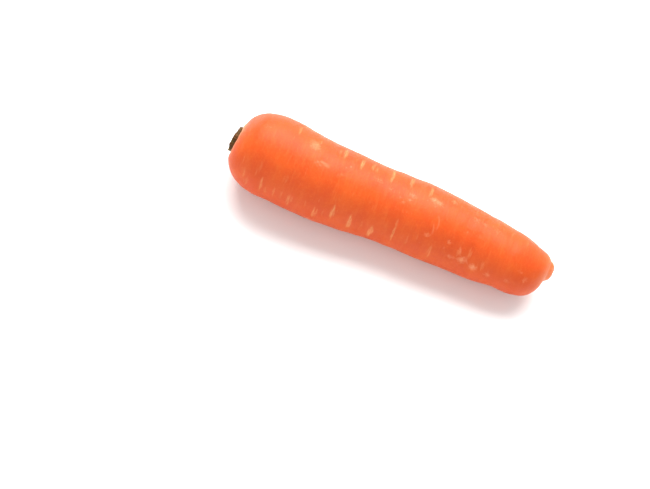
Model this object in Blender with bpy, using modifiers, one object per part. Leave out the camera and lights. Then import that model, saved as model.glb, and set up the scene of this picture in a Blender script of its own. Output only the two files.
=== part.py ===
# A carrot, washed, with its tops cut off, lying on its side.
#
# The root is a turned shape: a profile that starts in the middle of the dish at the crown, runs over
# the rim and down the outside to the tail. It is then laid down along +X with its crown at -X, and
# takes its slight sway, its oval section and its off-centre tail from plain functions of the distance
# along the root. The cut leaf stalks stand in the dish, round the bud at the heart of the crown.
#
# Units are metres, +Z is up, and the origin is the middle of the bottom of the whole carrot.

import math

import bmesh
import bpy
from mathutils import Vector

MM = 0.001

# The root, measured along its length from the rim of the crown.
BODY_LENGTH = 184.0 * MM
CROWN_RADIUS = 24.0 * MM  # of the taper, where it would reach the rim
TAPER = 0.038  # radius lost for each length of root
SWELLS = ((85.0, -0.8, 12.0), (114.0, 0.4, 10.0))  # place, height and spread, all in mm
SWAYS = ((50.0, -1.9, 25.0), (117.0, 0.3, 26.0), (165.0, -2.0, 14.0))  # the same, sideways
OVAL = (1.015, 0.985)  # width and height of the section against a circle

# The rounded ends. A power of 2 would make them elliptical, and more makes them squarer.
SHOULDER_DEPTH = 25.5 * MM
SHOULDER_OPEN = 1.0 * MM  # how much of the shoulder's dome the dish takes away
SHOULDER_POWER = 2.5
TIP_DEPTH = 35.0 * MM
TIP_POWER = 2.5
TIP_LAST_RING = math.radians(17.0)  # turn at which the tip gives way to the tail

# The stub of the thin tail, off the middle of the tip.
TAIL_RADIUS = 5.6 * MM
TAIL_START = 182.6 * MM
TAIL_LENGTH = 4.4 * MM
TAIL_POWER = 2.2
TAIL_SHIFT = (2.2 * MM, 1.2 * MM)  # sideways and up
TAIL_BEND = (173.0 * MM, 184.0 * MM)  # where the shift begins and is complete

# The dish in the crown.
DISH_DEPTH = 2.5 * MM
RIM_RADIUS = 9.2 * MM
RIM_ROUND = 1.3 * MM
RIM_OUTER = math.radians(16.0)  # how far the rim's arc turns before it meets the shoulder
FLOOR_FILLET = 0.5 * MM

# The belly is flattened just enough for the root to lie on a real flat strip.
FLATTENED = 0.2 * MM
FLAT_TOLERANCE = 0.02 * MM

SECTION_SIDES = 48
SHOULDER_RINGS = 8
BODY_RINGS = 20
TIP_RINGS = 8
TAIL_RINGS = 5
RIM_RINGS = 4

# Leaf stalk stubs: facing and spread in degrees, then distance from the axis, thickness,
# height of the cut above the rim and slope of the cut, in mm.
OUTER_STALKS = (
    (31.0, 58.0, 6.25, 2.3, 2.6, 0.06),
    (102.0, 62.0, 6.15, 2.5, 1.9, -0.08),
    (175.0, 62.0, 6.30, 2.2, 2.4, 0.10),
    (251.0, 58.0, 6.20, 2.4, 2.5, 0.04),
    (319.0, 62.0, 6.20, 2.3, 2.8, -0.05),
)
INNER_STALKS = (
    (65.0, 88.0, 3.70, 1.6, 2.2, 0.10),
    (187.0, 92.0, 3.75, 1.5, 1.6, -0.10),
    (305.0, 86.0, 3.65, 1.6, 2.4, 0.08),
)
STALK_GAP = 0.3 * MM  # clearance under each stub
STALK_CUTS = 7
STALK_THINNING = 0.8  # how much a stub thins towards its two edges
STALK_LEAN = 0.05  # how far a stub leans in towards the axis at its cut
STALK_EDGE = 0.25 * MM
BUD_RADIUS = 2.1 * MM
BUD_HEIGHT = 2.3 * MM
BUD_MIDDLE = -1.2 * MM

SKIN_ORANGE = (0.87, 0.17, 0.045, 1.0)
STALK_BROWN = (0.115, 0.058, 0.022, 1.0)
STALK_KHAKI = (0.36, 0.27, 0.11, 1.0)
BUD_GREEN = (0.22, 0.21, 0.06, 1.0)


def empty_scene():
    for thing in list(bpy.data.objects):
        bpy.data.objects.remove(thing, do_unlink=True)


def make_collection(name):
    collection = bpy.data.collections.new(name)
    bpy.context.scene.collection.children.link(collection)
    return collection


def make_material(name, colour, roughness):
    material = bpy.data.materials.new(name)
    material.use_nodes = True
    shader = material.node_tree.nodes["Principled BSDF"]
    shader.inputs["Base Color"].default_value = colour
    shader.inputs["Roughness"].default_value = roughness
    shader.inputs["Metallic"].default_value = 0.0
    return material


def make_piece(name, mesh, material, collection, parent):
    piece = bpy.data.objects.new(name, mesh)
    mesh.materials.append(material)
    collection.objects.link(piece)
    piece.parent = parent
    return piece


def make_empty(name, collection, parent=None):
    empty = bpy.data.objects.new(name, None)
    collection.objects.link(empty)
    empty.parent = parent
    return empty


def bumps(shapes, along):
    """Sum of the smooth bumps in shapes, each a place, a height and a spread in mm."""
    return sum(
        height * MM * math.exp(-0.5 * ((along / MM - place) / spread) ** 2)
        for place, height, spread in shapes
    )


def dome(share, power):
    """Width of a rounded end, from 0 at its pole (share 0) to 1 where it meets the body (share 1)."""
    return (1.0 - (1.0 - min(share, 1.0)) ** power) ** (1.0 / power)


def body_radius(along):
    """Radius of the root without its rounded ends."""
    return CROWN_RADIUS - TAPER * along + bumps(SWELLS, along)


def skin_radius(along):
    """Radius of the root with its rounded ends."""
    shoulder = dome((along + SHOULDER_OPEN) / SHOULDER_DEPTH, SHOULDER_POWER)
    tip = dome((BODY_LENGTH - along) / TIP_DEPTH, TIP_POWER)
    return body_radius(along) * shoulder * tip


def tail_share(along):
    """How much of the tail's shift holds here: 0 on the body, 1 on the tail, smooth between."""
    start, end = TAIL_BEND
    share = min(max((along - start) / (end - start), 0.0), 1.0)
    return share * share * (3.0 - 2.0 * share)


def centre_line(along):
    """Sideways place and height of the root's middle. It stays one radius above the ground."""
    side = bumps(SWAYS, along) + TAIL_SHIFT[0] * tail_share(along)
    height = body_radius(along) * OVAL[1] - FLATTENED + TAIL_SHIFT[1] * tail_share(along)
    return side, height


def dish_profile():
    """Radius and distance along the root, from the middle of the dish over its rim."""
    wall = RIM_RADIUS - RIM_ROUND
    corner = FLOOR_FILLET * math.sqrt(0.5)
    points = [
        (0.0, DISH_DEPTH),
        ((wall - FLOOR_FILLET) / 2, DISH_DEPTH),
        (wall - FLOOR_FILLET, DISH_DEPTH),
        (wall - FLOOR_FILLET + corner, DISH_DEPTH - FLOOR_FILLET + corner),
    ]
    for ring in range(RIM_RINGS + 1):
        turn = -math.pi / 2 + (RIM_OUTER + math.pi / 2) * ring / RIM_RINGS
        points.append(
            (RIM_RADIUS + RIM_ROUND * math.sin(turn), RIM_ROUND * (1.0 - math.cos(turn)))
        )
    return points


def skin_profile():
    """Radius and distance along the root, from the rim down the outside to the tip."""
    first = math.acos(1.0 - SHOULDER_OPEN / SHOULDER_DEPTH)
    places = []
    for ring in range(1, SHOULDER_RINGS):
        turn = first + (math.pi / 2 - first) * ring / SHOULDER_RINGS
        places.append(SHOULDER_DEPTH * (1.0 - math.cos(turn)) - SHOULDER_OPEN)
    start = SHOULDER_DEPTH - SHOULDER_OPEN
    end = BODY_LENGTH - TIP_DEPTH
    places += [start + (end - start) * ring / BODY_RINGS for ring in range(BODY_RINGS + 1)]
    for ring in range(1, TIP_RINGS + 1):
        turn = math.pi / 2 + (TIP_LAST_RING - math.pi / 2) * ring / TIP_RINGS
        places.append(BODY_LENGTH - TIP_DEPTH * (1.0 - math.cos(turn)))
    return [(skin_radius(along), along) for along in places]


def tail_profile():
    """Radius and distance along the root, from the crease round the tail to the tail's end."""
    points = []
    for ring in range(TAIL_RINGS + 1):
        share = math.sin(math.pi / 2 * ring / TAIL_RINGS)
        radius = TAIL_RADIUS * (1.0 - min(share, 1.0) ** TAIL_POWER) ** (1.0 / TAIL_POWER)
        points.append((radius, TAIL_START + TAIL_LENGTH * share))
    points[-1] = (0.0, TAIL_START + TAIL_LENGTH)
    return points


def turned_mesh(name, profile, sides):
    """A closed mesh turned from a profile, standing with its first point at the top."""
    outline = bpy.data.meshes.new(name + "_outline")
    corners = [(radius, 0.0, -along) for radius, along in profile]
    outline.from_pydata(corners, [(i, i + 1) for i in range(len(corners) - 1)], [])
    turning = bpy.data.objects.new(name + "_turning", outline)
    bpy.context.scene.collection.objects.link(turning)
    screw = turning.modifiers.new("Screw", "SCREW")
    screw.steps = sides
    screw.render_steps = sides
    screw.use_merge_vertices = True
    screw.merge_threshold = 0.01 * MM
    bpy.context.view_layer.update()
    evaluated = turning.evaluated_get(bpy.context.evaluated_depsgraph_get())
    mesh = bpy.data.meshes.new_from_object(evaluated)
    bpy.data.objects.remove(turning, do_unlink=True)
    bpy.data.meshes.remove(outline)
    mesh.name = name
    return mesh


def laid_down(point):
    """Where a point of the standing root lies once the root is on its side."""
    along = -point.z
    side, height = centre_line(along)
    across = side + OVAL[0] * point.y
    up = height + OVAL[1] * point.x
    return Vector((along, across, 0.0 if up < FLAT_TOLERANCE else up))


def make_taproot(collection, parent):
    profile = dish_profile() + skin_profile() + tail_profile()
    mesh = turned_mesh("taproot", profile, SECTION_SIDES)
    for vertex in mesh.vertices:
        vertex.co = laid_down(vertex.co)
    mesh.shade_smooth()
    return make_piece("taproot", mesh, make_material("skin", SKIN_ORANGE, 0.42), collection, parent)


def stalk_mesh(name, spread, distance, thickness, top, slope):
    """A crescent that faces +X: a box bent round the axis, thinner at both edges, its top cut at
    a slope."""
    shape = bmesh.new()
    bmesh.ops.create_cube(shape, size=2.0)
    arcs = [e for e in shape.edges if abs(e.verts[0].co.y - e.verts[1].co.y) > 1.0]
    bmesh.ops.subdivide_edges(shape, edges=arcs, cuts=STALK_CUTS, use_grid_fill=True)
    foot = STALK_GAP - DISH_DEPTH
    for vertex in shape.verts:
        outward, edge, upper = vertex.co
        turn = edge * spread / 2
        half = thickness / 2 * math.sqrt(1.0 - STALK_THINNING * edge * edge)
        lean = 1.0 - STALK_LEAN * (upper > 0)
        reach = distance * lean + outward * half
        height = top + slope * outward * thickness + slope * edge * distance if upper > 0 else foot
        vertex.co = (reach * math.cos(turn), reach * math.sin(turn), height)
    mesh = bpy.data.meshes.new(name)
    shape.to_mesh(mesh)
    shape.free()
    return mesh


def make_stalks(collection, crown):
    brown = make_material("old_stalk", STALK_BROWN, 0.8)
    khaki = make_material("young_stalk", STALK_KHAKI, 0.7)
    rows = [(row, brown) for row in OUTER_STALKS] + [(row, khaki) for row in INNER_STALKS]
    for number, (row, material) in enumerate(rows, start=1):
        facing, spread, distance, thickness, top, slope = row
        name = f"leaf_stalk_stub_{number}"
        mesh = stalk_mesh(
            name, math.radians(spread), distance * MM, thickness * MM, top * MM, slope
        )
        stub = make_piece(name, mesh, material.copy(), collection, crown)
        stub.rotation_euler.z = math.radians(facing)
        bevel = stub.modifiers.new("Bevel", "BEVEL")
        bevel.width = STALK_EDGE
        bevel.segments = 1
        bevel.limit_method = "ANGLE"
        bevel.angle_limit = math.radians(40.0)
        mesh.shade_smooth()
        mesh.set_sharp_from_angle(angle=math.radians(40.0))


def make_bud(collection, crown):
    """A low dome that stands flat on the floor of the dish."""
    shape = bmesh.new()
    bmesh.ops.create_uvsphere(shape, u_segments=16, v_segments=10, radius=1.0)
    foot = STALK_GAP - DISH_DEPTH
    for vertex in shape.verts:
        x, y, z = vertex.co
        vertex.co = (x * BUD_RADIUS, y * BUD_RADIUS, max(BUD_MIDDLE + z * BUD_HEIGHT, foot))
    mesh = bpy.data.meshes.new("crown_bud")
    shape.to_mesh(mesh)
    shape.free()
    mesh.shade_smooth()
    make_piece("crown_bud", mesh, make_material("bud", BUD_GREEN, 0.7), collection, crown)


def stand_on_origin(frame, collection):
    """Moves the frame so that the origin is the middle of the bottom of all the pieces."""
    bpy.context.view_layer.update()
    depsgraph = bpy.context.evaluated_depsgraph_get()
    corners = []
    for piece in collection.objects:
        if piece.type == "MESH":
            seen = piece.evaluated_get(depsgraph)
            corners += [seen.matrix_world @ vertex.co for vertex in seen.data.vertices]
    lowest = [min(corner[axis] for corner in corners) for axis in range(3)]
    highest = [max(corner[axis] for corner in corners) for axis in range(3)]
    frame.location.x -= (lowest[0] + highest[0]) / 2
    frame.location.y -= (lowest[1] + highest[1]) / 2
    frame.location.z -= lowest[2]


def main():
    empty_scene()
    collection = make_collection("carrot")
    frame = make_empty("carrot_frame", collection)
    crown = make_empty("crown_frame", collection, frame)
    side, height = centre_line(0.0)
    crown.location = (0.0, side, height)
    crown.rotation_euler.y = -math.pi / 2  # the crown's own +Z looks out of the dish, along -X
    make_taproot(collection, frame)
    make_stalks(collection, crown)
    make_bud(collection, crown)
    stand_on_origin(frame, collection)


main()
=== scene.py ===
# A washed carrot with its tops cut off: the finished surface of every piece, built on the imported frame.
import math
import bpy
import numpy as np
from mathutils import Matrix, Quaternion, Vector


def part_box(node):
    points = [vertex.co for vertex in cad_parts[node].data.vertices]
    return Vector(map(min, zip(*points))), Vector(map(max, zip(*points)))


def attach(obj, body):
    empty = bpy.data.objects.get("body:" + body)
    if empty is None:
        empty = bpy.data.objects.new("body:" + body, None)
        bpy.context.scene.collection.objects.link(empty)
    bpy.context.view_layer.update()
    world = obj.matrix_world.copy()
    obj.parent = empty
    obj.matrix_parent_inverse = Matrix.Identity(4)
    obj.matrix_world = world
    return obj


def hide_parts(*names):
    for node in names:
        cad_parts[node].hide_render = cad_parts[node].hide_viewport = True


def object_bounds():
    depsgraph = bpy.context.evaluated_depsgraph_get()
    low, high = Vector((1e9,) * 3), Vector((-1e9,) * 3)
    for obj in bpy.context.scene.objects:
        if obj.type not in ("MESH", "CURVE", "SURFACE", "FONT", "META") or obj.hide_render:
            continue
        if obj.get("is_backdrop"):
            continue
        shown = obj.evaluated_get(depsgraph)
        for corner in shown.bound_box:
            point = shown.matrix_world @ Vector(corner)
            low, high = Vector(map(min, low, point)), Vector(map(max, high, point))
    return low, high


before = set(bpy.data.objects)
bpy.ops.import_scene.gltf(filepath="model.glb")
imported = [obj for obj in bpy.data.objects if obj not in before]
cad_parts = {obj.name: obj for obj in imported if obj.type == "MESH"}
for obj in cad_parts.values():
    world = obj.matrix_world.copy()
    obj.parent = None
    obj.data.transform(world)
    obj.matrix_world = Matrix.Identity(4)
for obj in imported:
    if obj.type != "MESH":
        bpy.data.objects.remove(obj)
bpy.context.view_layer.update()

mm = 0.001
rootLow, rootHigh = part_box("taproot")


def bumpSum(shapes, along):
    # sum of bell curves, each a place, a height and a spread
    return sum(h * np.exp(-0.5 * ((along - place) / spread) ** 2) for place, h, spread in shapes)


def smoothShare(value, low, high):
    # 0 below low, 1 above high, an S curve between
    share = np.clip((value - low) / (high - low), 0.0, 1.0)
    return share * share * (3.0 - 2.0 * share)


def wrapped(turn):
    # an angle brought to between -pi and pi
    return (turn + np.pi) % (2.0 * np.pi) - np.pi


def bell(value, spread):
    # 1 at nought, falling evenly on both sides
    return np.exp(-((value / spread) ** 2))


def closedMesh(name, rings):
    # rings[i, j] goes round the piece with j; the first and last ring are closed by their middle point
    rows, cols, _ = rings.shape
    ends = np.array([rings[0].mean(0), rings[-1].mean(0)])
    points = np.concatenate([rings.reshape(-1, 3), ends])
    i, j = np.meshgrid(np.arange(rows - 1), np.arange(cols), indexing="ij")
    a, b = i * cols + j, i * cols + (j + 1) % cols
    quads = np.stack([a, b, b + cols, a + cols], -1).reshape(-1, 4)
    j = np.arange(cols)
    k = (j + 1) % cols
    first = np.stack([np.full(cols, rows * cols), k, j], -1)
    last = np.stack([np.full(cols, rows * cols + 1), j + (rows - 1) * cols, k + (rows - 1) * cols], -1)
    corners = np.concatenate([quads.ravel(), first.ravel(), last.ravel()])
    sizes = np.concatenate([np.full(len(quads), 4), np.full(2 * cols, 3)])
    mesh = bpy.data.meshes.new(name)
    mesh.vertices.add(len(points))
    mesh.vertices.foreach_set("co", points.ravel())
    mesh.loops.add(len(corners))
    mesh.loops.foreach_set("vertex_index", corners)
    mesh.polygons.add(len(sizes))
    mesh.polygons.foreach_set("loop_start", np.cumsum(sizes) - sizes)
    mesh.update(calc_edges=True)
    mesh.validate()
    mesh.shade_smooth()
    return mesh


def addAttribute(mesh, name, values):
    # one number for each point of a closedMesh: its rings, then its two end points
    ends = [values[0].mean(), values[-1].mean()]
    layer = mesh.attributes.new(name, "FLOAT", "POINT")
    layer.data.foreach_set("value", np.concatenate([values.ravel(), ends]))


def addPiece(name, mesh, material, slotName, *nodes):
    piece = bpy.data.objects.new(name, mesh)
    mesh.materials.append(material)
    bpy.context.scene.collection.objects.link(piece)
    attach(piece, "root")
    if nodes:
        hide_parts(*nodes)
    return piece


def newMaterial(name, roughness, **values):
    # values are Principled sockets that are the same all over, such as Specular_IOR_Level=0.4
    material = bpy.data.materials.new(name)
    material.use_nodes = True
    tree = material.node_tree
    shader = tree.nodes["Principled BSDF"]
    shader.inputs["Roughness"].default_value = roughness
    for socket, value in values.items():
        shader.inputs[socket.replace("_", " ")].default_value = value
    return material, tree, shader


def addNode(tree, kind, links=None, **values):
    # values set inputs by name, with _ for a space; links joins sockets to inputs by name
    node = tree.nodes.new("ShaderNode" + kind)
    for socket, value in values.items():
        node.inputs[socket.replace("_", " ")].default_value = value
    for socket, source in (links or {}).items():
        tree.links.new(source, node.inputs[socket])
    return node


def objectPlace(tree, scale):
    # Object coordinates stretched by scale, so a pattern can run round or along the piece
    coords = tree.nodes.new("ShaderNodeTexCoord")
    return addNode(tree, "Mapping", {"Vector": coords.outputs["Object"]}, Scale=scale).outputs[0]


def noise(tree, place, scale, detail=3.0, roughness=0.55, distortion=0.0):
    node = addNode(tree, "TexNoise", {"Vector": place}, Scale=scale, Detail=detail,
                   Roughness=roughness, Distortion=distortion)
    return node.outputs["Fac"]


def ranged(tree, value, low, high, toLow=0.0, toHigh=1.0):
    # a value between low and high spread over toLow to toHigh, and held there outside
    node = tree.nodes.new("ShaderNodeMapRange")
    tree.links.new(value, node.inputs["Value"])
    for socket, number in (("From Min", low), ("From Max", high), ("To Min", toLow), ("To Max", toHigh)):
        node.inputs[socket].default_value = number
    return node.outputs[0]


def calc(tree, operation, a, b):
    node = tree.nodes.new("ShaderNodeMath")
    node.operation = operation
    for socket, value in zip(node.inputs, (a, b)):
        if isinstance(value, (int, float)):
            socket.default_value = value
        else:
            tree.links.new(value, socket)
    return node.outputs[0]


def blendColour(tree, share, a, b):
    node = tree.nodes.new("ShaderNodeMix")
    node.data_type = "RGBA"
    for socket, value in zip((node.inputs[0], node.inputs[6], node.inputs[7]), (share, a, b)):
        if isinstance(value, (int, float)):
            socket.default_value = value
        elif isinstance(value, tuple):
            socket.default_value = (*value, 1.0)
        else:
            tree.links.new(value, socket)
    return node.outputs[2]


def readAttribute(tree, name):
    node = tree.nodes.new("ShaderNodeAttribute")
    node.attribute_name = name
    return node.outputs["Fac"]


def roughen(tree, shader, height, strength, distance):
    bump = addNode(tree, "Bump", {"Height": height}, Strength=strength, Distance=distance)
    tree.links.new(bump.outputs[0], shader.inputs["Normal"])


root = dict(
    bodyLength=184.0,            # mm, from the rim of the crown to the rounded tip
    crownRadius=24.0,
    taper=0.038,
    swells=((85.0, -0.8, 12.0), (114.0, 0.4, 10.0)),
    sways=((50.0, -1.9, 25.0), (117.0, 0.3, 26.0), (165.0, -2.0, 14.0)),
    oval=(1.015, 0.985),
    flattened=0.2,
    shoulder=(25.5, 1.0, 2.5),   # depth, how much the dish takes away, squareness
    tip=(35.0, 2.5),             # depth, squareness
    tailRadius=5.6, tailStart=182.6, tailLength=3.9, tailPower=2.2,
    tailShift=(2.2, 1.2), tailBend=(173.0, 184.0), tailLift=(0.9, 0.3),
    dishDepth=2.5, rimRadius=9.2, rimRound=1.3, rimTurn=16.0, floorFillet=0.5,
    tailRise=(180.0, 185.0),     # over which the tail lifts
    softening=(0.35, 1.1),       # how far corners of the profile are rounded, at the crown and the tail
    softerAfter=(150.0, 176.0),  # over which the rounding passes from one to the other
    closeRows=((14.0, 4.0), (172.0, 181.0), 0.9),  # where rows draw closer, and by how much
    dishEdge=(8.6, 7.9),         # radius at which skin gives way to the dish
    dishRibs=(23, 0.10), tailFurrows=(11, 0.07),   # how many and how high
    littleMarks=150, creases=170, waves=30, waveHeight=0.0018,
    rows=690, cols=142,
    seed=11,
)


def domeWidth(share, power):
    # width of a rounded end: a superellipse from 0 at its pole to 1 at the body
    share = np.clip(share, 0.0, 1.0)
    return (1.0 - (1.0 - share) ** power) ** (1.0 / power)


def bodyRadius(along):
    # the crown's radius less a steady taper, plus the swells
    return root["crownRadius"] - root["taper"] * along + bumpSum(root["swells"], along)


def skinRadius(along):
    # the tapered body times its two domed ends
    depth, opened, power = root["shoulder"]
    tipDepth, tipPower = root["tip"]
    crownEnd = domeWidth((along + opened) / depth, power)
    return bodyRadius(along) * crownEnd * domeWidth((root["bodyLength"] - along) / tipDepth, tipPower)


def centreLine(along):
    # sideways place and height of the root's middle; the belly stays on the ground
    share = smoothShare(along, *root["tailBend"])
    lift = smoothShare(along, *root["tailRise"])
    side = bumpSum(root["sways"], along) + root["tailShift"][0] * share + root["tailLift"][0] * lift
    up = bodyRadius(along) * root["oval"][1] - root["flattened"]
    up = up + root["tailShift"][1] * share + root["tailLift"][1] * lift
    return side, up


def rootProfile():
    # radius and distance along: dish floor, wall, an arc over the rim, the skin, then the tail's dome
    r = root
    wall = r["rimRadius"] - r["rimRound"]
    floor = np.linspace(0.0, wall - r["floorFillet"], 60)
    turn = np.radians(np.linspace(-90.0, r["rimTurn"], 50))
    rim = r["rimRadius"] + r["rimRound"] * np.sin(turn), r["rimRound"] * (1.0 - np.cos(turn))
    skin = 0.5 - 0.5 * np.cos(np.linspace(0.0, np.pi, 1600)[1:])
    skin = rim[1][-1] + (r["tailStart"] - 0.4 - rim[1][-1]) * skin
    out = np.sin(np.linspace(0.0, np.pi / 2, 80))
    tail = r["tailRadius"] * (1.0 - out ** r["tailPower"]) ** (1.0 / r["tailPower"])
    radius = np.concatenate([floor, rim[0], skinRadius(skin), tail])
    dish, dome = floor * 0.0 + r["dishDepth"], r["tailStart"] + r["tailLength"] * out
    along = np.concatenate([dish, rim[1], skin, dome])
    return radius, along


def blurred(radius, along, spread, step):
    # both values averaged with a bell curve, as if mirrored at the two ends
    reach = int(4 * spread / step)
    weights = bell(np.arange(-reach, reach + 1) * step, spread * math.sqrt(2.0))
    weights /= weights.sum()
    wide = np.concatenate([-radius[reach:0:-1], radius, -radius[-2:-reach - 2:-1]])
    tall = np.concatenate([along[reach:0:-1], along, along[-2:-reach - 2:-1]])
    return np.array([np.convolve(wide, weights, "valid"), np.convolve(tall, weights, "valid")])


def softened(radius, along, step=0.05):
    # the profile resampled evenly, with its corners rounded more at the tail than at the crown
    length = np.concatenate([[0.0], np.cumsum(np.hypot(np.diff(radius), np.diff(along)))])
    even = np.arange(0.0, length[-1], step)
    radius, along = np.interp(even, length, radius), np.interp(even, length, along)
    share = smoothShare(along, *root["softerAfter"])
    little, more = (blurred(radius, along, spread, step) for spread in root["softening"])
    radius, along = little + share * (more - little)
    return radius, along, even


def rootRows():
    # rows spaced along the profile, nearly twice as close at the crown and the tail as on the body
    radius, along, length = softened(*rootProfile())
    atCrown, atTail, closer = root["closeRows"]
    ends = smoothShare(along, *atCrown) + smoothShare(along, *atTail)
    density = np.cumsum(1.0 + closer * ends)
    spots = np.linspace(density[0], density[-1], root["rows"] + 2)[1:-1]
    spots = np.interp(spots, density, length)
    rowRadius, rowAlong = np.interp(spots, length, radius), np.interp(spots, length, along)
    inDish = smoothShare(rowRadius, *root["dishEdge"]) * (rowAlong < 5.0)
    return rowRadius, rowAlong, inDish


def laidDown(radius, along, turn):
    # sections stand across X; turn goes from +Y towards +Z, and the belly is held flat on the ground
    side, up = centreLine(along)
    y = side + root["oval"][0] * radius * np.cos(turn)
    z = up + root["oval"][1] * radius * np.sin(turn)
    return np.stack([along + 0.0 * turn, y, z], -1)


# Cross marks where side roots grew. Each row has its turn in degrees from +Y towards +Z and the least and
# most that its marks lean, then marks of place along, turn from the row, length round, width and strength.
crossMarks = (
    (150.0, (0.0, 0.1), (
        (7.0, -8, 4, 0.8, .35), (9.5, 12, 6, 0.9, .4), (12.5, 24, 7, 1.0, .45), (15.5, -2, 4, 0.8, .3),
        (23.5, 20, 5, 0.9, .4), (32.5, 14, 5, 0.9, .35), (46.0, 10, 4, 0.8, .3),
        (56.5, 14, 4, 0.9, .35), (78.0, 12, 5, 0.9, .35), (90.5, 14, 4, 0.8, .3),
        (104.0, 8, 6, 0.9, .35), (108.5, -4, 3, 0.8, .3))),
    (61.0, (-0.13, -0.04), (
        (29.1, 0, 7.7, 1.2, .7), (41.8, 1, 4, 1.1, .4), (53.0, 1, 5, 0.9, .4),
        (56.2, -1, 8.6, 1.2, .75), (66.9, 5, 8.5, 1.3, .85), (73.1, -1, 6.8, 1.2, .65),
        (74.8, 4, 5, 0.9, .4), (84.4, -1, 11, 1.3, .75), (95.7, -3, 9, 1.3, .75),
        (106.4, 4, 7.4, 1.2, .7), (120.4, 2, 4, 1.5, .45), (124.8, 4, 3, 1.2, .35),
        (134.3, -2, 4, 1.2, .35), (147.8, -6, 3, 1.4, .35), (156.5, 3, 4, 1.0, .3),
        (166.1, 3, 3, 1.2, .3))),
    (160.0, (0.0, 0.08), (
        (11.0, 16, 4, 0.9, .35), (16.9, -22, 5.4, 0.9, .3), (20.3, 2, 8.8, 1.0, .75),
        (28.3, 7, 7.3, 1.0, .5), (37.2, 9, 8.6, 1.2, .6), (38.3, 5, 5, 0.9, .45),
        (51.8, 12, 9, 1.1, .7), (53.4, 10, 6.3, 0.9, .5), (61.2, -4, 8.5, 1.4, .95),
        (71.3, 4, 9.5, 1.5, 1.), (84.2, 11, 9.5, 1.7, 1.), (95.9, -3, 9, 0.9, .75),
        (95.4, -22, 6, 0.7, .5), (117.8, 2, 9, 1.4, .45), (131.9, -18, 4.7, 1.2, .4),
        (137.8, -24, 6.8, .7, .45), (135.6, -6, 4, 1.1, .45), (146.9, -14, 4.9, 1.0, .5),
        (151.4, -4, 4, 0.9, .4), (162.6, -7, 3, 1.3, .3), (171.0, -21, 3, 1.3, .35))),
    (115.0, (-0.04, 0.08), (
        (16.6, 20, 5, 0.9, .3), (29.0, 0, 3, 0.8, .25), (31.7, 22, 5, 1.6, .22), (39.8, 2, 4, 0.9, .25),
        (80.0, 12, 3, 0.8, .2), (112.6, 20, 3, 1.4, .4), (138.6, 22, 5, 0.9, .4),
        (132.4, -10, 1.2, 1.2, .4), (139.1, -14, 1.2, 1.0, .35), (125.0, 17, 2, 1.4, .35),
        (157.0, 8, 3, 0.9, .2))),
)
hiddenRows = (245.0, 338.0)       # the same marks on the sides turned away, at places of their own
markShape = dict(
    ridgeWidth=0.34, slitWidth=0.16, haloWidth=0.8, dentWidth=2.6,   # of its width, but the dent in mm
    ridge=0.20, slit=0.42, dent=0.30, halo=0.32,                     # height or depth, and the halo's share
)

# Rubbed patches: place along, turn, size along, size round, strength.
rubbedPatches = (
    (39.3, 75, 3.6, 4.2, .72), (37.2, 80, 1.6, 1.4, .5), (41.8, 63, 1.6, 1.6, .4),
    (53.0, 62, 1.3, 3.0, .4), (58.7, 88, 1.0, 1.2, .5), (61.0, 83, 1.2, 1.0, .5),
    (77.6, 84, 4.5, 2.6, .4), (86.0, 90, 7, 2.6, .3), (93.9, 102, 1.8, 1.4, .5),
    (97.0, 95, 1.8, 1.2, .55), (97.8, 86, 2.6, 2.2, .55), (91.6, 96, 1.4, 1.2, .4),
    (109.4, 79, 2.4, 2.0, .8), (112.2, 81, 2.6, 2.0, .75), (110.8, 87, 2.6, 2.0, .4),
    (106.0, 84, 1.2, 1.2, .4), (114.6, 84, 1.8, 1.8, .35), (120.4, 64, 2.6, 2.0, .5),
    (134.9, 77, 2.6, 2.2, .45), (139.9, 78, 2.8, 2.2, .45), (148.0, 78, 5, 3, .35),
    (112.6, 136, 2.2, 1.5, .6), (111.0, 153, 1.2, 1.2, .35), (123.4, 145, 1.3, 1.3, .4),
    (125.0, 132, 2.0, 1.8, .5), (128.9, 155, 2.2, 1.8, .55), (130.8, 155, 1.3, 1.3, .5),
    (135.1, 152, 3.0, 2.4, .75), (142.4, 156, 2.5, 2.2, 1.), (132.4, 105, 1.1, 1.1, .4),
    (151.4, 158, 2.3, 2.3, .55), (171.5, 138, 2.4, 1.8, .5), (167.5, 125, 2.4, 1.8, .4),
    (162.6, 152, 2.5, 2, .45), (12.0, 79, 2.6, 2.2, .4), (96.0, 118, 10, 4, .2), (50.0, 200, 5, 4, .5),
    (112.0, 228, 6, 4, .5), (78.0, 318, 6, 4, .6), (131.0, 20, 5, 3, .5), (28.0, 352, 4, 3, .5),
)

# Broad lobes and dents: place along, turn, size along, size round, height in mm.
growthLobes = (
    (12.0, 28, 9, 16, -0.7), (26.0, 205, 12, 16, -0.7), (31.0, 28, 9, 14, 0.3),
    (47.0, 28, 14, 14, -0.5), (90.0, 207, 15, 15, -0.3), (92.0, 28, 14, 14, 0.7),
    (120.0, 207, 12, 15, 0.1), (157.5, 207, 9, 13, -2.2), (168.0, 28, 12, 10, 0.7),
    (180.4, 42, 2.2, 7, 0.35), (182.9, 215, 1.3, 5, -0.5), (0.0, 156, 5, 13, 1.6),
    (4.0, 194, 5, 10, 0.7), (4.0, 58, 5, 9, -1.0), (183.6, 48, 1.6, 5, 0.6), (178.0, 207, 5, 9, 1.0),
    (62.0, 120, 14, 12, 0.15), (135.0, 110, 12, 9, -0.15), (150.0, 330, 12, 12, 0.35),
    (70.0, 320, 16, 14, -0.3), (40.0, 300, 12, 14, 0.3), (108.0, 335, 9, 12, 0.3),
    (128.0, 250, 10, 12, -0.25),
)

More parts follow.
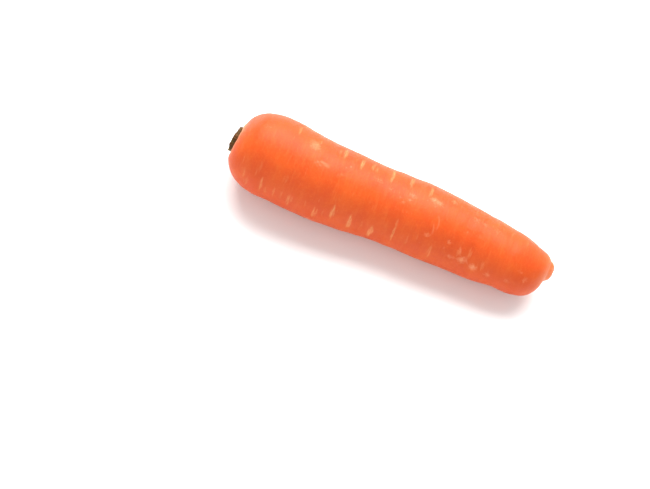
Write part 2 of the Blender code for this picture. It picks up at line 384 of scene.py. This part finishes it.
# Fine scratches: place along, turn, length along, length round (they run slantwise), strength.
scratches = (
    (45.4, 95.5, 6.8, -2.2, .8), (46.8, 98.6, 6.3, -1.8, .5), (132.8, 138, 1.2, 3.5, .7),
    (135.5, 148, 2.5, -3.0, .6), (138.0, 150, -2.0, -3.0, .5), (58.0, 100, 5.0, -2.0, .3),
    (116.0, 112, 1.5, 7.0, .4), (114.5, 124, 1.0, 5.0, .4), (95.0, 210, 6.0, 3.0, .5),
    (60.0, 330, 5.0, -3.0, .5), (150.0, 40, 4.0, 2.0, .5),
)


def rootFeatures(radius, along, turn, skin):
    # height added to the skin (mm) and the shares of pale mark, rubbed patch and scratch, on the grid
    rng = np.random.default_rng(root["seed"])
    height, pale = np.zeros((len(along), len(turn))), np.zeros((len(along), len(turn)))
    rubbed, scratch = np.zeros_like(pale), np.zeros_like(pale)

    def near(place, reach):
        return np.nonzero((np.abs(along - place) < reach) & skin)[0]

    def around(rows, degrees):
        return radius[rows, None] * wrapped(turn[None, :] - math.radians(degrees))

    def crossMark(place, degrees, span, width, strength, lean):
        # a few corky strokes side by side, each a low ridge with a slit along it, in one shallow dent
        m = markShape
        rows = near(place, 6.0)
        arc = around(rows, degrees)
        offset = along[rows, None] - place - lean * arc
        for stroke in range(3 if span > 4.0 else 1):
            share = 1.0 if stroke == 0 else rng.uniform(0.4, 0.8)
            aside = 0.0 if stroke == 0 else rng.choice((-1, 1)) * rng.uniform(0.35, 0.75) * width
            shift = rng.uniform(-0.5, 0.5) * span * (1.0 - share)
            bend = 0.10 * np.sin(arc * rng.uniform(0.6, 1.3) + rng.uniform(0.0, 6.0))
            line = offset - aside - bend
            window = 1.0 / (1.0 + np.exp((np.abs(arc - shift) - share * span / 2) / 0.55))
            ridge = bell(line, m["ridgeWidth"] * width) * window
            slit = bell(line, m["slitWidth"] * width) * window
            height[rows] += strength * share * (m["ridge"] * ridge - m["slit"] * slit)
            pale[rows] = np.maximum(pale[rows], strength * (0.6 + 0.4 * share) * ridge)
        dent = bell(offset, m["dentWidth"]) * bell(arc, 0.75 * span)
        halo = bell(offset, m["haloWidth"] * width) * bell(arc, 0.6 * span)
        height[rows] -= m["dent"] * strength * dent
        pale[rows] = np.maximum(pale[rows], m["halo"] * strength * halo)

    for rowTurn, leans, marks in crossMarks:
        for place, offTurn, span, width, strength in marks:
            crossMark(place, rowTurn + offTurn, span, width, strength, rng.uniform(*leans))
    for rowTurn in hiddenRows:
        place = 18.0
        while place < 172.0:
            crossMark(place, rowTurn + rng.normal(0.0, 5.0), rng.uniform(4.0, 11.0),
                      rng.uniform(0.9, 1.6), rng.uniform(0.4, 1.0), rng.uniform(-0.1, 0.1))
            place += rng.uniform(5.0, 14.0)
    for _ in range(root["littleMarks"]):      # little marks anywhere
        crossMark(rng.uniform(8.0, 178.0), rng.uniform(0.0, 360.0), rng.uniform(0.8, 3.2),
                  rng.uniform(0.6, 0.9), rng.uniform(0.08, 0.3), rng.uniform(-0.2, 0.2))

    for place, degrees, longSize, roundSize, strength in rubbedPatches:
        rows = near(place, 3.0 * longSize)
        patch = bell(along[rows, None] - place, longSize) * bell(around(rows, degrees), roundSize)
        rubbed[rows] = np.maximum(rubbed[rows], strength * patch)
        height[rows] -= 0.05 * strength * patch

    for place, degrees, longSize, roundSize, strength in scratches:
        rows = near(place, abs(longSize) + 3.0)
        arc, offset = around(rows, degrees), along[rows, None] - place
        size = math.hypot(longSize, roundSize)
        inLine = (offset * longSize + arc * roundSize) / size
        across = (offset * roundSize - arc * longSize) / size
        line = bell(across + 0.06 * inLine ** 2, 0.42) / (1.0 + np.exp((np.abs(inLine) - size / 2) / 0.4))
        scratch[rows] = np.maximum(scratch[rows], strength * line)
        height[rows] -= 0.05 * strength * line

    # slight creases that run part of the way round
    for _ in range(root["creases"]):
        place, degrees = rng.uniform(6.0, 178.0), rng.uniform(0.0, 360.0)
        rows = near(place, 4.0)
        arc = around(rows, degrees)
        offset = along[rows, None] - place - rng.uniform(-0.08, 0.08) * arc
        crease = bell(offset, rng.uniform(0.5, 1.1)) * bell(arc, rng.uniform(3.0, 14.0))
        height[rows] -= rng.uniform(0.02, 0.08) * crease

    # uneven growth: broad lobes and dents, then small waves along the root that also turn round it
    overRim = np.where(along < 5.0, smoothShare(radius, 8.6, 10.8), 1.0)   # lobes end at the crown's rim
    for place, degrees, longSize, roundSize, size in growthLobes:
        rows = near(place, 3.0 * longSize)
        lobe = bell(along[rows, None] - place, longSize) * bell(around(rows, degrees), roundSize)
        height[rows] += size * lobe * overRim[rows, None]
    for _ in range(root["waves"]):
        wave, twist, phase = rng.uniform(6.0, 22.0), rng.integers(1, 7), rng.uniform(0.0, 2 * np.pi)
        size = root["waveHeight"] * wave / (1.0 + 0.3 * twist)
        height += size * np.cos(2 * np.pi * along[:, None] / wave + twist * turn[None, :] + phase)

    # shallow folds that run out from the rim over the shoulder
    outward = np.where(skin, radius, 0.0)[:, None]
    atRim = bell(outward - 10.6, 2.6) * (along[:, None] < 12.0)
    folds = 0.5 + 0.5 * np.cos(9 * turn + 1.3 * np.sin(3 * turn + 0.7))[None, :]
    height -= 0.16 * atRim * folds ** 2
    return height, pale, rubbed, scratch


def buildRoot():
    radius, along, inDish = rootRows()
    turn = np.radians(-90.0) + np.linspace(0.0, 2 * np.pi, root["cols"], endpoint=False)
    points = laidDown(radius[:, None], along[:, None], turn[None, :])
    middle = (points[..., 1].max() + points[..., 1].min()) / 2
    skin = (radius > 8.8) | (along > 5.0)
    height, pale, rubbed, scratch = rootFeatures(radius, along, turn, skin)

    # the dish: ribs up its wall and a floor roughened by dry scraps of leaf
    number, high = root["dishRibs"]
    ribs = high * np.cos(number * turn + 2.0 * np.sin(5 * turn))[None, :]
    height += inDish[:, None] * (ribs * smoothShare(radius, 3.0, 7.0)[:, None]
                                 + 0.08 * np.sin(2.4 * radius[:, None] + 4 * turn[None, :]))

    # the tail: furrows along it and a small dried scar at its end
    onTail = smoothShare(along, 181.0, 183.5)[:, None] * smoothShare(radius, 0.4, 2.5)[:, None]
    number, high = root["tailFurrows"]
    furrows = high * np.cos(number * turn + np.sin(3 * turn) + 0.5) + 0.08 * np.cos(3 * turn + 1.0)
    height += onTail * furrows[None, :]
    endScar = bell(radius, 1.1)[:, None] * (along[:, None] > 180.0)
    height -= 0.3 * endScar

    # the belly keeps its flat, so the waves fade out where it touches the ground
    grounded = bell(wrapped(turn + np.pi / 2), 0.30)[None, :] * (along[:, None] < 160.0) * skin[:, None]
    height *= 1.0 - grounded

    roundWay = np.roll(points, -1, 1) - np.roll(points, 1, 1)
    longWay = np.gradient(points, axis=0)
    normal = np.cross(roundWay, longWay)
    normal /= np.linalg.norm(normal, axis=-1, keepdims=True) + 1e-12
    points = points + height[..., None] * normal
    points[..., 2] = np.maximum(points[..., 2], 0.0)
    start = np.array([rootLow.x / mm, (rootLow.y + rootHigh.y) / 2 / mm - middle, 0.0])
    mesh = closedMesh("carrotRoot", (points + start) * mm)

    rim = bell(radius - 9.6, 1.9) * (along < 6.0)
    addAttribute(mesh, "paleMark", pale)
    addAttribute(mesh, "rubbed", rubbed)
    addAttribute(mesh, "scratch", scratch)
    addAttribute(mesh, "inDish", inDish[:, None] + 0.0 * pale)
    addAttribute(mesh, "rim", np.maximum(rim - inDish, 0.0)[:, None] + 0.0 * pale)
    addAttribute(mesh, "tail", smoothShare(along, 176.0, 184.5)[:, None] + 0.0 * pale)
    addAttribute(mesh, "tailScar", endScar + 0.0 * pale)
    # painted shade: the depth of each dent, crease and slit, which the skin colour uses to deepen the
    # orange there
    addAttribute(mesh, "paintedDentShade", np.clip(-height * 2.2, 0.0, 1.0))
    return mesh, start


skinLook = dict(
    deep=(0.545, 0.058, 0.0035), mid=(0.585, 0.076, 0.0045), light=(0.62, 0.118, 0.018),
    paleMark=(0.70, 0.28, 0.100), rubbed=(0.70, 0.24, 0.105), rim=(0.70, 0.28, 0.12),
    tail=(0.67, 0.175, 0.050), scar=(0.40, 0.15, 0.04),
    # the dish's near-black is partly painted shade of the recess and partly dark withered tissue
    dishShadeAndWithered=(0.030, 0.014, 0.006), dishBrown=(0.15, 0.065, 0.022), dishGreen=(0.085, 0.085, 0.022),
    roughness=(0.40, 0.56), bump=(0.7, 0.0004),
    mottle=70.0, rings=420.0, grain=900.0, fine=3200.0, streaks=1500.0, wrinkles=1500.0, scraps=480.0,
    moss=210.0,
)


def makeSkin():
    look = skinLook
    material, tree, shader = newMaterial("carrotSkin", 0.48, Subsurface_Weight=0.10,
                                         Subsurface_Scale=0.0018, IOR=1.4, Specular_IOR_Level=0.36)
    shader.inputs["Subsurface Radius"].default_value = (1.0, 0.35, 0.12)
    flatPlace = objectPlace(tree, (1.0, 1.0, 1.0))
    ringPlace = objectPlace(tree, (1.0, 0.16, 0.16))      # long patterns round the root
    mottle = noise(tree, flatPlace, look["mottle"], 4.0)
    rings = noise(tree, ringPlace, look["rings"], 4.0, 0.6, 0.4)
    grain = noise(tree, flatPlace, look["grain"], 5.0, 0.6)
    fine = noise(tree, flatPlace, look["fine"], 3.0, 0.6)
    streaks = noise(tree, ringPlace, look["streaks"], 3.0, 0.55, 0.2)
    wrinkles = noise(tree, objectPlace(tree, (1.0, 0.09, 0.09)), look["wrinkles"], 3.0, 0.6, 0.3)

    colour = blendColour(tree, ranged(tree, mottle, 0.36, 0.64), look["deep"], look["mid"])
    colour = blendColour(tree, ranged(tree, streaks, 0.56, 0.74, 0.0, 0.45), colour, look["light"])
    colour = blendColour(tree, ranged(tree, rings, 0.52, 0.78, 0.0, 0.55), colour, look["light"])
    colour = blendColour(tree, ranged(tree, grain, 0.50, 0.80, 0.0, 0.5), colour, look["light"])
    colour = blendColour(tree, ranged(tree, grain, 0.46, 0.30, 0.0, 0.5), colour, look["deep"])

    # painted shade: dents, creases and the slits of the marks are coloured deeper orange, as if shade lay
    # in them
    paintedDentShade = calc(tree, "MULTIPLY", readAttribute(tree, "paintedDentShade"), 0.5)
    colour = blendColour(tree, paintedDentShade, colour, look["deep"])
    broken = calc(tree, "MULTIPLY", ranged(tree, grain, 0.30, 0.60, 0.6, 1.0),
                  ranged(tree, streaks, 0.34, 0.58, 0.5, 1.0))
    pale = calc(tree, "MULTIPLY", readAttribute(tree, "paleMark"), broken)
    colour = blendColour(tree, ranged(tree, pale, 0.04, 0.85, 0.0, 0.92), colour, look["paleMark"])
    patch = calc(tree, "ADD", readAttribute(tree, "rubbed"), calc(tree, "SUBTRACT", grain, 0.5))
    worn = ranged(tree, fine, 0.35, 0.6, 0.4, 1.0)
    patch = calc(tree, "MULTIPLY", ranged(tree, patch, 0.25, 0.95), worn)
    colour = blendColour(tree, patch, colour, look["rubbed"])
    line = calc(tree, "MULTIPLY", readAttribute(tree, "scratch"), ranged(tree, fine, 0.3, 0.6, 0.3, 0.9))
    colour = blendColour(tree, line, colour, look["rubbed"])
    rim = calc(tree, "MULTIPLY", readAttribute(tree, "rim"), ranged(tree, grain, 0.3, 0.65, 0.55, 1.0))
    colour = blendColour(tree, rim, colour, look["rim"])
    tail = calc(tree, "MULTIPLY", readAttribute(tree, "tail"), ranged(tree, grain, 0.3, 0.7, 0.5, 1.0))
    colour = blendColour(tree, tail, colour, look["tail"])
    scar = calc(tree, "MULTIPLY", readAttribute(tree, "tailScar"), 0.8)
    colour = blendColour(tree, scar, colour, look["scar"])

    # the dish: near-black painted shade of the recess, mixed with brown dry scraps of leaf and green
    # patches
    scraps = noise(tree, flatPlace, look["scraps"], 5.0, 0.65, 0.8)
    dish = blendColour(tree, ranged(tree, scraps, 0.40, 0.62), look["dishShadeAndWithered"], look["dishBrown"])
    mossy = ranged(tree, noise(tree, flatPlace, look["moss"]), 0.52, 0.66)
    dish = blendColour(tree, mossy, dish, look["dishGreen"])
    frayed = calc(tree, "MULTIPLY", calc(tree, "SUBTRACT", grain, 0.5), 0.7)
    inDish = ranged(tree, calc(tree, "ADD", readAttribute(tree, "inDish"), frayed), 0.25, 0.6)
    colour = blendColour(tree, inDish, colour, dish)
    tree.links.new(colour, shader.inputs["Base Color"])

    low, high = look["roughness"]
    gloss = ranged(tree, grain, 0.3, 0.7, low, high)
    gloss = calc(tree, "ADD", gloss, calc(tree, "MULTIPLY", pale, 0.2))
    gloss = calc(tree, "ADD", gloss, calc(tree, "MULTIPLY", inDish, 0.35))
    tree.links.new(gloss, shader.inputs["Roughness"])
    relief = calc(tree, "ADD", calc(tree, "MULTIPLY", rings, 0.5), calc(tree, "MULTIPLY", grain, 0.45))
    relief = calc(tree, "ADD", relief, calc(tree, "MULTIPLY", wrinkles, 0.35))
    relief = calc(tree, "ADD", relief, calc(tree, "MULTIPLY", fine, 0.14))
    roughen(tree, shader, relief, *look["bump"])
    return material


rootMesh, rootStart = buildRoot()
addPiece("carrotRoot", rootMesh, makeSkin(), "carrot_skin", "taproot")
print("root surface made,", len(rootMesh.polygons), "faces")


crownSide, crownUp = centreLine(np.array(0.0))
crownMiddle = np.array([rootStart[0], rootStart[1] + crownSide, crownUp])


def outOfCrown(points):
    # the crown's own X, Y and Z (Z out of the dish) turned to up, +Y and -X, and put in place
    return (np.stack([-points[..., 2], points[..., 1], points[..., 0]], -1) + crownMiddle) * mm


stalks = dict(
    # facing and spread in degrees, then distance, thickness, height of the cut and its slope, in mm
    outer=((31.0, 58.0, 6.25, 2.3, 1.5, -0.14), (102.0, 62.0, 6.15, 2.5, 1.9, -0.08),
           (175.0, 62.0, 6.30, 2.2, 2.4, 0.10), (251.0, 58.0, 6.20, 2.4, 3.0, 0.04),
           (319.0, 62.0, 6.20, 2.3, 2.8, -0.05)),
    inner=((65.0, 88.0, 3.70, 1.6, 2.2, 0.10), (187.0, 92.0, 3.75, 1.5, 1.6, -0.10),
           (305.0, 86.0, 3.65, 1.6, 2.4, 0.08)),
    greening=251.0,              # the outer stalk that still has some green
    foot=-2.75,                  # a little into the floor of the dish they grow from
    thinning=0.8, lean=0.05, flare=0.16,
    sides=108, rows=30, capRows=18,
    ribs=(17, 0.055), sunk=0.28, ragged=0.14, droop=0.7,
    fibre=1500.0, blotch=420.0, grain=2600.0,      # how fine the patterns of their looks are
    seed=5,
)

# Each look has its bark and the dark between fibres, the cut face from low to high, and the green in it.
stalkLooks = dict(
    withered=dict(bark=(0.155, 0.062, 0.017), dark=(0.026, 0.012, 0.004), faceLow=(0.19, 0.11, 0.045),
                  faceHigh=(0.40, 0.26, 0.11), green=(0.090, 0.080, 0.018), greenShare=0.45),
    greening=dict(bark=(0.25, 0.17, 0.075), dark=(0.08, 0.055, 0.022), faceLow=(0.25, 0.17, 0.08),
                  faceHigh=(0.46, 0.33, 0.17), green=(0.22, 0.22, 0.085), greenShare=0.8),
    young=dict(bark=(0.36, 0.25, 0.10), dark=(0.13, 0.08, 0.03), faceLow=(0.34, 0.25, 0.11),
               faceHigh=(0.56, 0.42, 0.20), green=(0.24, 0.24, 0.07), greenShare=0.75),
    bud=dict(bark=(0.26, 0.24, 0.08), dark=(0.10, 0.08, 0.025), faceLow=(0.30, 0.26, 0.10),
             faceHigh=(0.45, 0.38, 0.16), green=(0.22, 0.24, 0.06), greenShare=0.8),
)


def stalkSurface(spread, distance, thickness, top, slope, rng):
    # a crescent section carried from the foot up to the cut, rolled over its edge and closed over the face
    s = stalks
    u = np.linspace(0.0, 2 * np.pi, s["sides"], endpoint=False)[None, :]
    level = np.concatenate([np.linspace(0.0, 1.0, s["rows"]), np.ones(s["capRows"])])[:, None]
    inward = np.concatenate([np.zeros(s["rows"]), np.linspace(0.0, 0.96, s["capRows"] + 1)[1:]])[:, None]
    roll = smoothShare(np.linspace(0.0, 1.0, s["capRows"] + 1)[1:], 0.0, 0.25)
    roll = np.concatenate([np.zeros(s["rows"]), roll])[:, None]
    edge = np.sign(np.cos(u)) * np.abs(np.cos(u)) ** 0.85
    across = -np.sign(np.sin(u)) * np.abs(np.sin(u)) ** 0.75
    phase = rng.uniform(0.0, 6.0, 4)
    ribs = s["ribs"][1] * np.cos(s["ribs"][0] * edge + phase[0] + 0.8 * np.sin(3 * level + phase[1]))
    ribs = ribs + 0.05 * np.cos(5 * edge + 7 * level + phase[2])
    half = thickness / 2 * np.sqrt(1.0 - s["thinning"] * edge ** 2)
    half = half * (1.0 + s["flare"] * (1.0 - level) ** 2) + ribs * (1.0 - inward)
    shrink = 1.0 - inward
    turn = edge * shrink * math.radians(spread) / 2
    reach = distance * (1.0 - s["lean"] * level) + across * half * shrink
    foot = s["foot"]
    cut = top + slope * (reach - distance) + slope * edge * shrink * distance
    cut = cut + s["ragged"] * (np.cos(4 * u + phase[3]) + 0.6 * np.cos(9 * u + phase[1])) * shrink ** 2
    cut = cut - s["droop"] * np.abs(edge * shrink) ** 3
    bundles = sum(bell(edge * shrink - k, 0.085) for k in (-0.66, -0.33, 0.0, 0.33, 0.66))
    face = 0.15 * bundles * bell(across * shrink, 0.45) * inward - s["sunk"] * roll * (1.0 - shrink ** 4)
    edgeRound = 0.16 * (1.0 - smoothShare(inward, 0.0, 0.14)) * (level >= 1.0)
    height = foot + (cut - foot) * level + face - edgeRound
    points = np.stack([reach * np.cos(turn), reach * np.sin(turn), height], -1)
    onCut = smoothShare(inward, 0.02, 0.16) + 0.0 * u
    return points, onCut, bundles * (inward > 0)


def turnedTo(points, degrees):
    c, s = math.cos(math.radians(degrees)), math.sin(math.radians(degrees))
    x, y = points[..., 0], points[..., 1]
    return np.stack([c * x - s * y, s * x + c * y, points[..., 2]], -1)


def makeStalkLook(name, bark, dark, faceLow, faceHigh, green, greenShare):
    # fibrous sides, a paler cut face with its vein ends (on the bud, painted shade in the creases between
    # its folds), and green that shows through in patches
    material, tree, shader = newMaterial(name, 0.75, IOR=1.4, Specular_IOR_Level=0.25)
    fibrePlace = objectPlace(tree, (0.12, 1.0, 1.0))      # fibres run along X, out of the crown
    flatPlace = objectPlace(tree, (1.0, 1.0, 1.0))
    fibre = noise(tree, fibrePlace, stalks["fibre"], 4.0, 0.65)
    blotch = noise(tree, flatPlace, stalks["blotch"], 4.0, 0.6)
    grain = noise(tree, flatPlace, stalks["grain"], 4.0, 0.6)
    side = blendColour(tree, ranged(tree, fibre, 0.35, 0.65), dark, bark)
    greened = calc(tree, "MULTIPLY", ranged(tree, blotch, 0.46, 0.60), greenShare)
    side = blendColour(tree, greened, side, green)
    face = blendColour(tree, ranged(tree, grain, 0.35, 0.65), faceLow, faceHigh)
    greened = calc(tree, "MULTIPLY", ranged(tree, blotch, 0.44, 0.58), greenShare)
    face = blendColour(tree, greened, face, green)
    # on a stalk this darkens the vein ends of the cut face; on the bud it paints shade into the creases
    # between folds
    veinsAndCreaseShade = calc(tree, "MULTIPLY", readAttribute(tree, "veinsAndCreaseShade"), 0.45)
    face = blendColour(tree, veinsAndCreaseShade, face, dark)
    frayed = calc(tree, "MULTIPLY", calc(tree, "SUBTRACT", grain, 0.5), 0.8)
    onCut = calc(tree, "ADD", readAttribute(tree, "onCut"), frayed)
    colour = blendColour(tree, ranged(tree, onCut, 0.35, 0.7), side, face)
    tree.links.new(colour, shader.inputs["Base Color"])
    tree.links.new(ranged(tree, blotch, 0.3, 0.7, 0.6, 0.85), shader.inputs["Roughness"])
    relief = calc(tree, "ADD", calc(tree, "MULTIPLY", fibre, 0.7), calc(tree, "MULTIPLY", grain, 0.3))
    roughen(tree, shader, relief, 0.6, 0.0003)
    return material


bud = dict(radius=2.15, top=1.15, foot=-2.75, sides=96, rows=60, folds=5, swirl=1.4, depth=0.20)


def budSurface():
    # a dome of folded young leaves: its radius dips between folds that swirl round towards the top
    u = np.linspace(0.0, 2 * np.pi, bud["sides"], endpoint=False)[None, :]
    climb = np.linspace(0.0, 0.985, bud["rows"])[:, None]
    dome = np.sqrt(1.0 - climb ** 2.6)
    folds = np.abs(np.cos(bud["folds"] / 2 * u + bud["swirl"] * climb * 2)) ** 0.6
    radius = bud["radius"] * dome * (1.0 - bud["depth"] * (1.0 - folds) * smoothShare(climb, 0.1, 0.6))
    height = bud["foot"] + (bud["top"] - bud["foot"]) * climb ** 0.8 + 0.25 * folds * climb * dome
    # the second value is the share of crease between folds, used to paint shade into the creases
    return np.stack([radius * np.cos(u), radius * np.sin(u), height], -1), 1.0 - folds + 0.0 * climb


collar = dict(
    radius=7.50, thickness=0.34, foot=-2.4, low=-0.6, high=2.0, ragged=0.35,
    # degrees and height of the tall dry sheath left on the upper side
    arch=((-118, -1.0), (-94, 1.0), (-82, 3.1), (-58, 3.5), (-35, 3.2), (-10, 2.7), (8, 2.3), (35, 1.5),
          (60, 0.5), (80, -1.0)),
    sides=280, rows=30, seed=8,
)


def collarSurface():
    # a thin ring of torn leaf sheath: its cross section is a long loop, and its top edge rises and falls
    c = collar
    rng = np.random.default_rng(c["seed"])
    turn = np.linspace(0.0, 2 * np.pi, c["sides"], endpoint=False)[:, None]
    loop = np.linspace(0.0, 2 * np.pi, c["rows"], endpoint=False)[None, :]
    edge = sum(rng.uniform(0.3, 1.0) / k ** 0.5 * np.cos(k * turn + rng.uniform(0.0, 6.0))
               for k in range(2, 19))
    edge = (edge - edge.min()) / (edge.max() - edge.min())
    top = c["low"] + (c["high"] - c["low"]) * edge ** 0.8
    arch = np.interp(np.degrees(wrapped(turn)), *np.array(c["arch"]).T) + c["ragged"] * (edge - 0.5)
    top = np.maximum(top, arch)
    climb = 0.5 - 0.5 * np.cos(loop)
    wavy = 0.12 * np.cos(9 * turn + 2.0) + 0.07 * np.cos(23 * turn) - 0.22 * climb ** 2
    radius = c["radius"] + wavy + c["thickness"] / 2 * np.sin(loop) * (1.0 - 0.6 * climb)
    height = c["foot"] + (top - c["foot"]) * climb
    return np.stack([radius * np.cos(turn), radius * np.sin(turn), height], -1)


def ringMesh(name, grid):
    # a grid closed both ways, like a bracelet
    rows, cols, _ = grid.shape
    i, j = np.meshgrid(np.arange(rows), np.arange(cols), indexing="ij")
    nextI, nextJ = (i + 1) % rows, (j + 1) % cols
    quads = [i * cols + j, nextI * cols + j, nextI * cols + nextJ, i * cols + nextJ]
    quads = np.stack(quads, -1).reshape(-1, 4)
    mesh = bpy.data.meshes.new(name)
    mesh.from_pydata(grid.reshape(-1, 3), [], quads.tolist())
    mesh.validate()
    mesh.shade_smooth()
    return mesh


def buildCrown():
    rng = np.random.default_rng(stalks["seed"])
    withered = makeStalkLook("witheredStalk", **stalkLooks["withered"])
    greening = makeStalkLook("greeningStalk", **stalkLooks["greening"])
    young = makeStalkLook("youngStalk", **stalkLooks["young"])
    budLook = makeStalkLook("budGreen", **stalkLooks["bud"])
    rows = [(row, greening if row[0] == stalks["greening"] else withered, "withered_stalk")
            for row in stalks["outer"]]
    rows += [(row, young, "young_stalk") for row in stalks["inner"]]
    for number, (row, look, slotName) in enumerate(rows, start=1):
        facing, spread, distance, thickness, top, slope = row
        points, onCut, veinsAndCreaseShade = stalkSurface(spread, distance, thickness, top, slope, rng)
        mesh = closedMesh(f"stalkStub{number}", outOfCrown(turnedTo(points, facing)))
        addAttribute(mesh, "onCut", onCut)
        addAttribute(mesh, "veinsAndCreaseShade", veinsAndCreaseShade)
        addPiece(f"stalkStub{number}", mesh, look, slotName, f"leaf_stalk_stub_{number}")
    mesh = ringMesh("sheathCollar", outOfCrown(collarSurface()))
    addPiece("sheathCollar", mesh, withered, "withered_stalk")
    points, creases = budSurface()
    mesh = closedMesh("crownBud", outOfCrown(points))
    addAttribute(mesh, "onCut", 0.0 * creases)
    # painted shade: the creases between the bud's folds are darkened through the same attribute as the
    # veins of the stalks
    addAttribute(mesh, "veinsAndCreaseShade", creases)
    addPiece("crownBud", mesh, budLook, "bud_green", "crown_bud")
    print("crown made:", len(rows), "stalk stubs and a bud")


buildCrown()


studio = dict(
    floorSize=8.0, floorDrop=0.0001, floorColour=(0.93, 0.93, 0.93), glowReach=(0.6, 1.8), farGlow=0.38,
    horizonLight=1.1, skyLight=0.66, skyRise=(0.12, 0.45),
    keyPower=34.0, keySize=(1.5, 0.95), keyFar=1.2, keyAzimuth=192.0, keyHeight=54.0,
    fillPower=9.0, fillSize=(2.0, 2.0), fillFar=1.7, fillAzimuth=0.0, fillHeight=32.0,
)
shot = dict(
    azimuth=-6.5, height=62.4, roll=28.5, far=1.0, width=0.3531,
    aimAlong=0.094, aimHeight=0.020, aimRight=-0.0390, aimUp=-0.0187,
)


def directionFrom(azimuth, height):
    # unit vector towards a camera or light: azimuth 0 is on the -Y side, 90 on the +X side
    a, e = math.radians(azimuth), math.radians(height)
    return Vector((math.sin(a) * math.cos(e), -math.cos(a) * math.cos(e), math.sin(e)))


def addLight(name, power, size, far, azimuth, height):
    light = bpy.data.lights.new(name, "AREA")
    light.shape, light.energy = "RECTANGLE", power
    light.size, light.size_y = size
    holder = bpy.data.objects.new(name, light)
    way = directionFrom(azimuth, height)
    holder.location = way * far
    holder.rotation_euler = (-way).to_track_quat("-Z", "Y").to_euler()
    holder.visible_camera = False
    bpy.context.scene.collection.objects.link(holder)


def buildStage():
    bpy.ops.mesh.primitive_plane_add(size=studio["floorSize"], location=(0.0, 0.0, -studio["floorDrop"]))
    floor = bpy.context.object
    floor.name = "floor"
    material, tree, shader = newMaterial("paleFloor", 0.9, Specular_IOR_Level=0.1)
    shader.inputs["Base Color"].default_value = (*studio["floorColour"], 1.0)
    shader.inputs["Emission Color"].default_value = (1.0, 1.0, 1.0, 1.0)
    # far from the lights the floor brightens by itself
    coords = tree.nodes.new("ShaderNodeTexCoord")
    distance = tree.nodes.new("ShaderNodeVectorMath")
    distance.operation = "LENGTH"
    tree.links.new(coords.outputs["Object"], distance.inputs[0])
    glow = ranged(tree, distance.outputs["Value"], *studio["glowReach"], 0.0, studio["farGlow"])
    tree.links.new(glow, shader.inputs["Emission Strength"])
    floor.data.materials.append(material)
    floor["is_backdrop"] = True
    world = bpy.data.worlds.new("studio")
    bpy.context.scene.world = world
    world.use_nodes = True
    tree = world.node_tree
    backdrop = tree.nodes["Background"]
    backdrop.inputs["Color"].default_value = (1.0, 1.0, 1.0, 1.0)
    # white near the horizon, softer overhead
    coords = tree.nodes.new("ShaderNodeTexCoord")
    parts = addNode(tree, "SeparateXYZ", {"Vector": coords.outputs["Generated"]})
    light = studio["horizonLight"], studio["skyLight"]
    strength = ranged(tree, parts.outputs["Z"], *studio["skyRise"], *light)
    tree.links.new(strength, backdrop.inputs["Strength"])
    addLight("keyLight", studio["keyPower"], studio["keySize"], studio["keyFar"],
             studio["keyAzimuth"], studio["keyHeight"])
    addLight("fillLight", studio["fillPower"], studio["fillSize"], studio["fillFar"],
             studio["fillAzimuth"], studio["fillHeight"])
    bpy.context.scene.view_settings.view_transform = "Standard"


def placeCamera():
    camera = bpy.data.cameras.new("camera")
    camera.sensor_width = 36.0
    camera.lens = camera.sensor_width * shot["far"] / shot["width"]
    camera.clip_start, camera.clip_end = 0.01, 20.0
    holder = bpy.data.objects.new("camera", camera)
    way = directionFrom(shot["azimuth"], shot["height"])
    roll = Quaternion((0.0, 0.0, 1.0), math.radians(shot["roll"]))
    turned = (-way).to_track_quat("-Z", "Y") @ roll
    right, up = turned @ Vector((1.0, 0.0, 0.0)), turned @ Vector((0.0, 1.0, 0.0))
    middle = Vector((rootLow.x + shot["aimAlong"], rootStart[1] * mm, shot["aimHeight"]))
    holder.location = middle + right * shot["aimRight"] + up * shot["aimUp"] + way * shot["far"]
    holder.rotation_euler = turned.to_euler()
    bpy.context.scene.collection.objects.link(holder)
    bpy.context.scene.camera = holder


buildStage()
placeCamera()
print("stage, lights and camera placed")

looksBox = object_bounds()
finishedSize = [round((looksBox[1][k] - looksBox[0][k]) / mm, 2) for k in range(3)]
print("size of the finished carrot in mm:", finishedSize)
